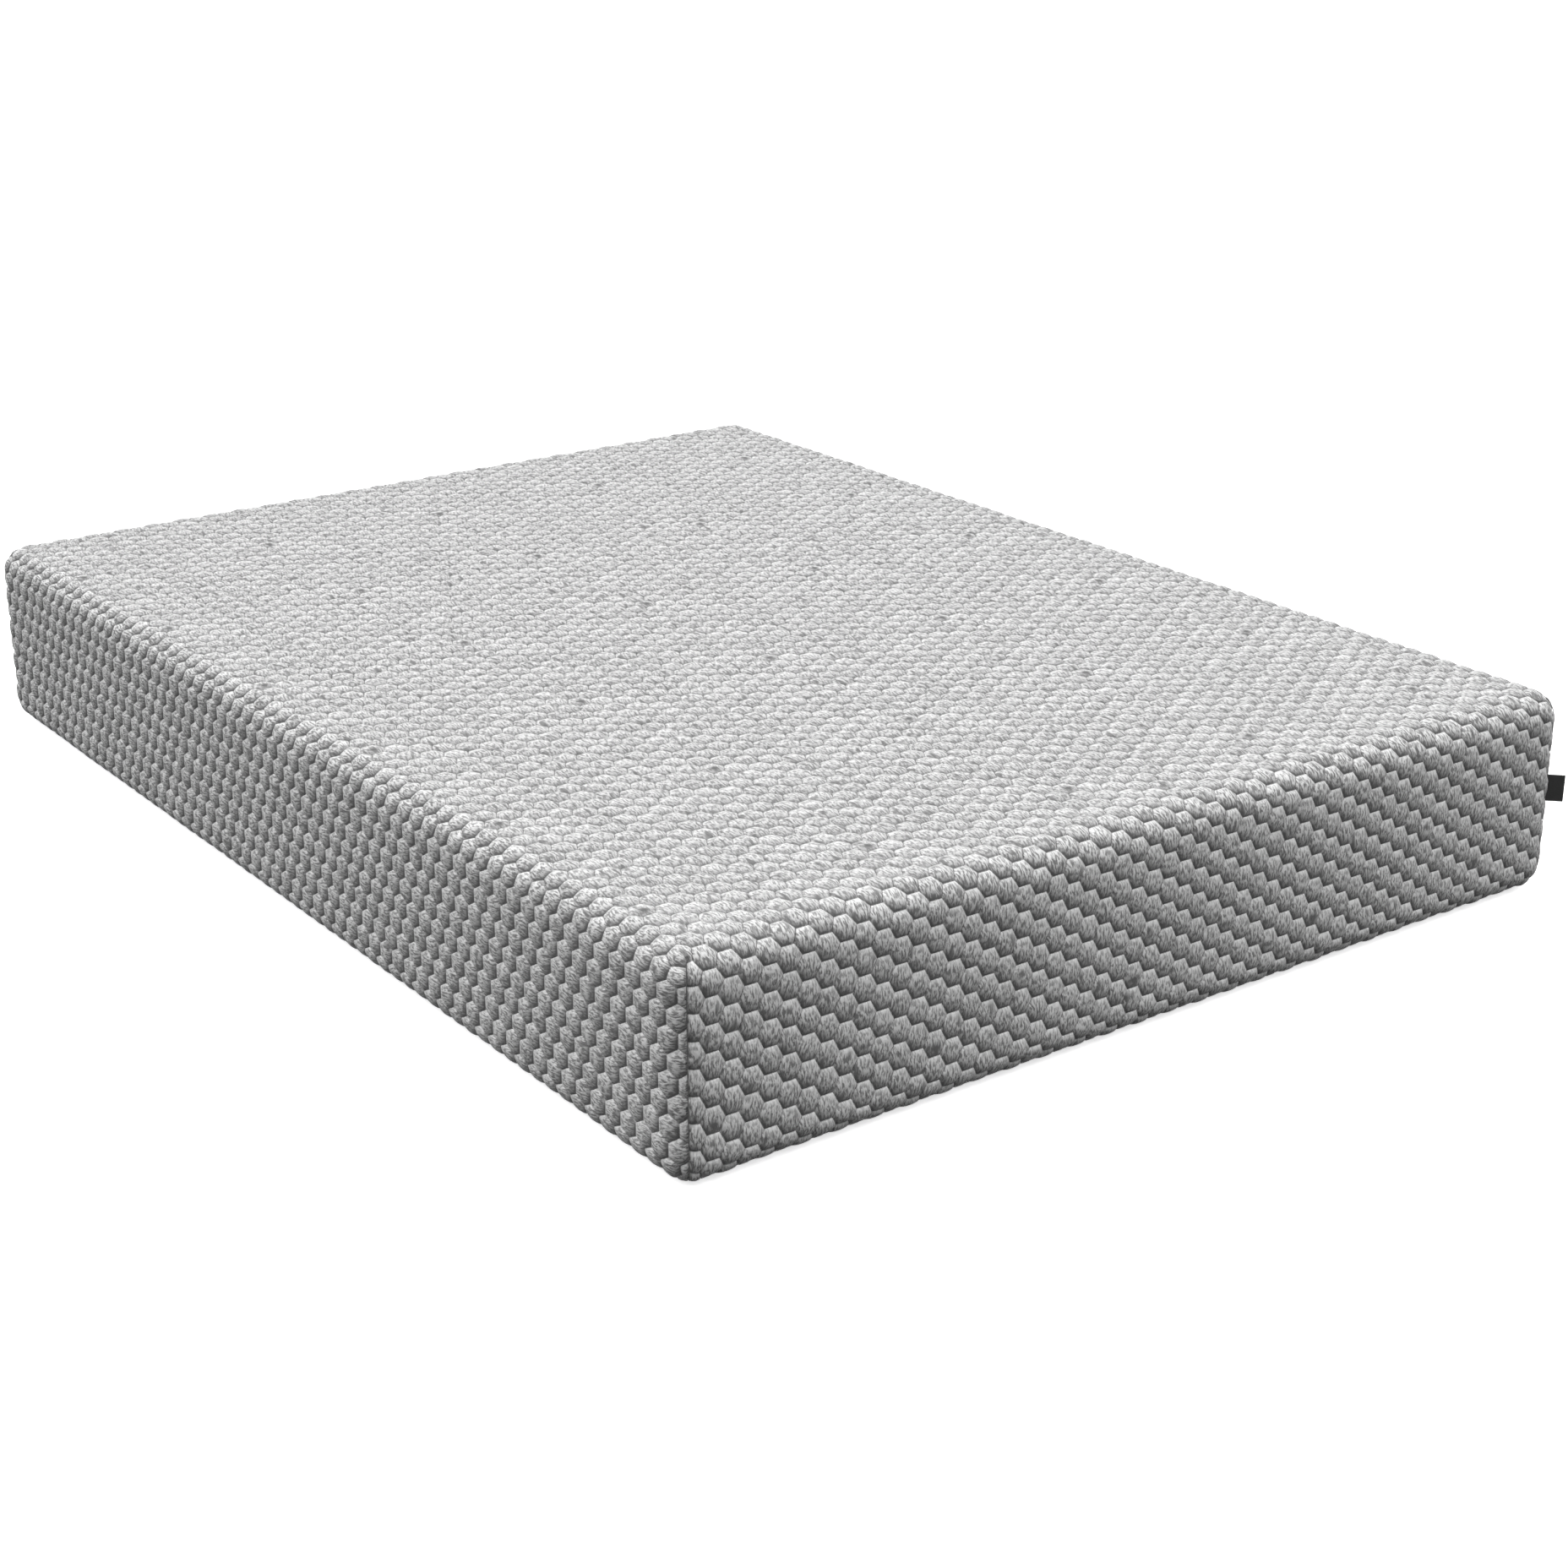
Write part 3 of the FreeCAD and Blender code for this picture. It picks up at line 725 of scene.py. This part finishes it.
bm = bmesh.new()
bmesh.ops.create_cone(bm, cap_ends=True, segments=8, radius1=DOT_RADIUS * 0.6, radius2=DOT_RADIUS,
                      depth=DOT_HEIGHT)
bmesh.ops.translate(bm, vec=(0, 0, DOT_HEIGHT / 2), verts=bm.verts)
across = int(2 * HALF_X / DOT_PITCH)
along = int(2 * HALF_Y / DOT_PITCH)
copies(bm, across, (DOT_PITCH, 0, 0))
copies(bm, along, (0, DOT_PITCH, 0))
bmesh.ops.translate(bm, vec=(-(across - 1) / 2 * DOT_PITCH, -(along - 1) / 2 * DOT_PITCH, 0),
                    verts=bm.verts)
low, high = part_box("law_label")
under_label = []
for face in bm.faces:
    centre = face.calc_center_median()
    if all(low[i] - LABEL_CLEARANCE < centre[i] < high[i] + LABEL_CLEARANCE for i in (0, 1)):
        under_label.append(face)
bmesh.ops.delete(bm, geom=under_label, context="FACES")
dots = piece("base_panel_grip_dots", bm, vinyl)
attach(dots, "mattress")

# --- Law label --------------------------------------------------------------------------------
# A blank white nonwoven label, sewn flat to the base panel near the head end by its two short
# ends.

LABEL_CLOTH = 0.00025
LABEL_RIPPLE = 0.00006
STITCH = (0.0024, 0.0005, 0.00015)
STITCH_PITCH = 0.0034
STITCH_INSET = 0.003
LABEL_WHITE = "#e9e9e4"
LABEL_SHADE = "#d3d3cd"

nonwoven, tree, shader = material("spunbond_nonwoven")
# Spunbond polypropylene: white, slightly papery, with the small oval bond points it is rolled with.
shader.inputs["Roughness"].default_value = 0.7
place = node(tree, "TexCoord").outputs["Object"]
bonds = node(tree, "TexVoronoi", {"Vector": place}, Scale=520.0, Randomness=0.25).outputs["Distance"]
bonded = node(tree, "MapRange", {"Value": bonds}, From_Min=0.1, From_Max=0.45).outputs[0]
paper = node(tree, "Mix", {"Factor": bonded}, data_type="RGBA",
             A=linear(LABEL_SHADE), B=linear(LABEL_WHITE))
tree.links.new(paper.outputs["Result"], shader.inputs["Base Color"])
relief = node(tree, "Bump", {"Height": bonded}, Distance=0.00015, Strength=0.8).outputs["Normal"]
tree.links.new(relief, shader.inputs["Normal"])

bm = bmesh.new()
bmesh.ops.create_grid(bm, x_segments=11, y_segments=8, size=0.5)
bmesh.ops.scale(bm, vec=(high[0] - low[0], high[1] - low[1], 1), verts=bm.verts)
bmesh.ops.translate(bm, vec=((low[0] + high[0]) / 2, (low[1] + high[1]) / 2, STITCH[2]), verts=bm.verts)
for vert in bm.verts:
    vert.co.z += LABEL_RIPPLE * (1 + math.sin(90 * vert.co.x) * math.sin(140 * vert.co.y))
bmesh.ops.solidify(bm, geom=bm.faces[:], thickness=LABEL_CLOTH / 2)
bmesh.ops.recalc_face_normals(bm, faces=bm.faces)
label = piece("law_label_blank", bm, nonwoven)
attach(label, "mattress")
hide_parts("law_label")

bm = bmesh.new()
bmesh.ops.create_cube(bm, size=1.0)
bmesh.ops.scale(bm, vec=(STITCH[1], STITCH[0], STITCH[2]), verts=bm.verts)
bmesh.ops.bevel(bm, geom=bm.edges[:], affect="EDGES", offset=STITCH[2] / 3, segments=1, profile=0.5,
                material=-1)
stitches = int((high[1] - low[1] - 2 * STITCH_INSET) / STITCH_PITCH)
copies(bm, stitches, (0, STITCH_PITCH, 0))
copies(bm, 2, (high[0] - low[0] - 2 * STITCH_INSET, 0, 0))
middle = (low[1] + high[1] - (stitches - 1) * STITCH_PITCH) / 2
bmesh.ops.translate(bm, vec=(low[0] + STITCH_INSET, middle, STITCH[2] / 2 + 0.00002), verts=bm.verts)
label_stitches = piece("law_label_stitches", bm, thread)
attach(label_stitches, "mattress")

# --- Zip --------------------------------------------------------------------------------------
# The zip runs right round the bottom edge: two woven polyester tapes, a nylon coil on each, two
# pressed zinc stops and a die-cast slider with its pull. The coils and the metal are the packed
# model's own parts with their finishes put on.

TAPE_TWILL = 0.0016
TAPE_INNER = 0.0401
TAPE_OUTER = 0.0408
TAPE_GREY = "#48494c"
TAPE_LIGHT = "#66676a"
COIL_GREY = "#57585b"
COIL_PITCH = 0.0022
ZINC_GREY = "#9a9b9e"
ZINC_WORN = "#85868a"
TAPES = {"zip_tape_cover": (52.0, 71.9, 0.0142), "zip_tape_base": (73.1, 86.5, 0.0125)}

tape_cloth, tree, shader = material("herringbone_zip_tape")
# Tight woven tape with a faint herringbone, drawn at twice its real 0.8 mm so that it shows.
shader.inputs["Roughness"].default_value = 0.8
place = node(tree, "TexCoord").outputs["Object"]
twill = node(tree, "TexWave", {"Vector": place}, bands_direction="DIAGONAL", Scale=bands(TAPE_TWILL),
             Distortion=1.5, Detail=1.0).outputs["Fac"]
tape_tone = node(tree, "Mix", {"Factor": twill}, data_type="RGBA",
                 A=linear(TAPE_GREY), B=linear(TAPE_LIGHT))
tree.links.new(tape_tone.outputs["Result"], shader.inputs["Base Color"])
relief = node(tree, "Bump", {"Height": twill}, Distance=0.0002, Strength=1.0).outputs["Normal"]
tree.links.new(relief, shader.inputs["Normal"])

for name, (start, end, cut_width) in TAPES.items():
    bm = bmesh.new()
    inner_start, inner_end = arc_section(bm, TAPE_INNER, start, end, 6)
    outer_start, outer_end = arc_section(bm, TAPE_OUTER, start, end, 6)
    bmesh.ops.contextual_create(bm, geom=[inner_start, outer_start])
    bmesh.ops.contextual_create(bm, geom=[inner_end, outer_end])
    round_the_bottom(bm, bm.edges[:])
    bmesh.ops.recalc_face_normals(bm, faces=bm.faces)
    for face in bm.faces:
        face.smooth = True
    tape = piece(name + "_woven", bm, tape_cloth)
    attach(tape, "mattress")
    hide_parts(name)

nylon, tree, shader = material("extruded_nylon_coil")
# Nylon wire wound to teeth: bands across the chain, drawn at half again their real 1.5 mm pitch.
shader.inputs["Roughness"].default_value = 0.45
place = node(tree, "TexCoord").outputs["Object"]
count = node(tree, "VectorMath", {0: place}, operation="DOT_PRODUCT")
count.inputs[1].default_value = (2 * math.pi / COIL_PITCH, 2 * math.pi / COIL_PITCH, 0)
turns = node(tree, "Math", {0: count.outputs["Value"]}, operation="SINE").outputs[0]
turns = node(tree, "MapRange", {"Value": turns}, From_Min=-1.0, From_Max=0.4).outputs[0]
wire = node(tree, "Mix", {"Factor": turns}, data_type="RGBA", A=linear(BASE_DARK), B=linear(COIL_GREY))
tree.links.new(wire.outputs["Result"], shader.inputs["Base Color"])
relief = node(tree, "Bump", {"Height": turns}, Distance=0.0006, Strength=1.0).outputs["Normal"]
tree.links.new(relief, shader.inputs["Normal"])

zinc, tree, shader = material("tumbled_zinc_die_casting")
# Die-cast zinc, tumbled and lacquered: a soft satin metal with fine uneven wear.
shader.inputs["Metallic"].default_value = 1.0
place = node(tree, "TexCoord").outputs["Object"]
wear = node(tree, "TexNoise", {"Vector": place}, Scale=700.0, Detail=3.0).outputs["Fac"]
metal = node(tree, "Mix", {"Factor": wear}, data_type="RGBA", A=linear(ZINC_WORN), B=linear(ZINC_GREY))
tree.links.new(metal.outputs["Result"], shader.inputs["Base Color"])
rubbed = node(tree, "MapRange", {"Value": wear}, To_Min=0.28, To_Max=0.5).outputs[0]
tree.links.new(rubbed, shader.inputs["Roughness"])
relief = node(tree, "Bump", {"Height": wear}, Distance=0.00005, Strength=0.6).outputs["Normal"]
tree.links.new(relief, shader.inputs["Normal"])

for name, finish in (("zip_coil_cover", nylon), ("zip_coil_base", nylon), ("zip_end_stops", zinc),
                     ("zip_slider", zinc), ("zip_pull", zinc)):
    part = bpy.data.objects[name]
    if not part.material_slots:
        part.data.materials.append(finish)
    for holder in part.material_slots:
        holder.material = finish

# --- Fire sock --------------------------------------------------------------------------------
# An off-white tube of flame-retardant rib knit, drawn over the foam core like a stocking and sewn
# shut at the foot end. It lies tight between the foam and the cover.

SOCK_INSET = 0.0059
SOCK_CLOTH = 0.0008
SOCK_WHITE = "#efeee8"
SOCK_SHADE = "#d9d8d0"
SOCK_RIB = 0.005


def rounded_block(inset, bottom, top, round_bottom=True, round_top=True):
    """A block that fills the mattress's shape at an inset, between two heights."""
    bm = bmesh.new()
    radius = EDGE_RADIUS - inset
    bmesh.ops.create_cube(bm, size=1.0)
    bmesh.ops.scale(bm, vec=(2 * (HALF_X + radius), 2 * (HALF_Y + radius), top - bottom), verts=bm.verts)
    bmesh.ops.translate(bm, vec=(0, 0, (top + bottom) / 2), verts=bm.verts)
    edges = []
    for edge in bm.edges:
        a, b = (v.co.z for v in edge.verts)
        upright = abs(a - b) > 1e-6
        if upright or (round_top if a > (top + bottom) / 2 else round_bottom):
            edges.append(edge)
    bmesh.ops.bevel(bm, geom=edges, affect="EDGES", offset=radius, segments=8, profile=0.5, material=-1,
                    clamp_overlap=True)
    bmesh.ops.recalc_face_normals(bm, faces=bm.faces)
    for face in bm.faces:
        face.smooth = len(face.verts) == 4 and face.calc_area() < 0.2
    return bm


rib_knit, tree, shader = material("flame_retardant_rib_knit")
# A loose rib knit of silica and rayon yarn: soft off-white ribs along the mattress, drawn twice
# their real 2.5 mm so that they show, with a slight fuzz.
shader.inputs["Roughness"].default_value = 0.95
place = node(tree, "TexCoord").outputs["Object"]
ribs = node(tree, "TexWave", {"Vector": place}, bands_direction="X", Scale=bands(SOCK_RIB),
            Distortion=0.4).outputs["Fac"]
fuzz = node(tree, "TexNoise", {"Vector": place}, Scale=400.0, Detail=3.0).outputs["Fac"]
knit_mix = node(tree, "Math", {0: ribs, 1: fuzz}, operation="MULTIPLY").outputs[0]
sock_tone = node(tree, "Mix", {"Factor": knit_mix}, data_type="RGBA",
                 A=linear(SOCK_SHADE), B=linear(SOCK_WHITE))
tree.links.new(sock_tone.outputs["Result"], shader.inputs["Base Color"])
relief = node(tree, "Bump", {"Height": knit_mix}, Distance=0.0006, Strength=1.0).outputs["Normal"]
tree.links.new(relief, shader.inputs["Normal"])

bm = rounded_block(SOCK_INSET, SOCK_INSET, TOP - SOCK_INSET)
bmesh.ops.solidify(bm, geom=bm.faces[:], thickness=SOCK_CLOTH)
sock = piece("fire_sock_knit", bm, rib_knit)
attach(sock, "mattress")
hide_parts("fire_sock")

# --- Foam core --------------------------------------------------------------------------------
# Three slabs of polyurethane foam glued face to face: slow memory foam on top, a softer transition
# foam and the firm support core. Each is cut from a block, so its faces show open cells.

FOAM_INSET = 0.0069
COMFORT = 0.0762
TRANSITION = 0.0508
FOAM_TOP = TOP - FOAM_INSET
FOAMS = {
    "comfort_foam": ("comfort_foam_slab", "slow_memory_foam", "memory_foam",
                     "#f0eee6", "#dedbd0", 620.0, FOAM_TOP - COMFORT, FOAM_TOP, 0.9),
    "transition_foam": ("transition_foam_slab", "soft_transition_foam", "transition_foam",
                        "#d3e2ee", "#b9cddd", 480.0,
                        FOAM_TOP - COMFORT - TRANSITION, FOAM_TOP - COMFORT, 0.9),
    "support_core": ("support_core_foam", "firm_support_foam", "support_foam",
                     "#ecebe6", "#d6d5cf", 380.0, FOAM_INSET, FOAM_TOP - COMFORT - TRANSITION, 1.0),
}

for name, (piece_name, finish, slot, light, dark, cells, bottom, top, fill) in FOAMS.items():
    foam, tree, shader = material(finish)
    # Cut open cells: a fine sponge of pits, drawn a little coarser than the real half millimetre.
    shader.inputs["Roughness"].default_value = 0.95
    place = node(tree, "TexCoord").outputs["Object"]
    pits = node(tree, "TexVoronoi", {"Vector": place}, Scale=cells).outputs["Distance"]
    broad = node(tree, "TexNoise", {"Vector": place}, Scale=9.0, Detail=3.0).outputs["Fac"]
    open_cells = node(tree, "Math", {0: pits, 1: broad}, operation="MULTIPLY").outputs[0]
    open_cells = node(tree, "MapRange", {"Value": open_cells}, From_Max=0.4).outputs[0]
    foam_tone = node(tree, "Mix", {"Factor": open_cells}, data_type="RGBA",
                     A=linear(dark), B=linear(light))
    tree.links.new(foam_tone.outputs["Result"], shader.inputs["Base Color"])
    relief = node(tree, "Bump", {"Height": pits}, Distance=0.0004, Strength=0.8).outputs["Normal"]
    tree.links.new(relief, shader.inputs["Normal"])
    bm = rounded_block(FOAM_INSET, bottom, top, round_bottom=name == "support_core",
                       round_top=name == "comfort_foam")
    slab = piece(piece_name, bm, foam)
    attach(slab, "mattress")
    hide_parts(name)
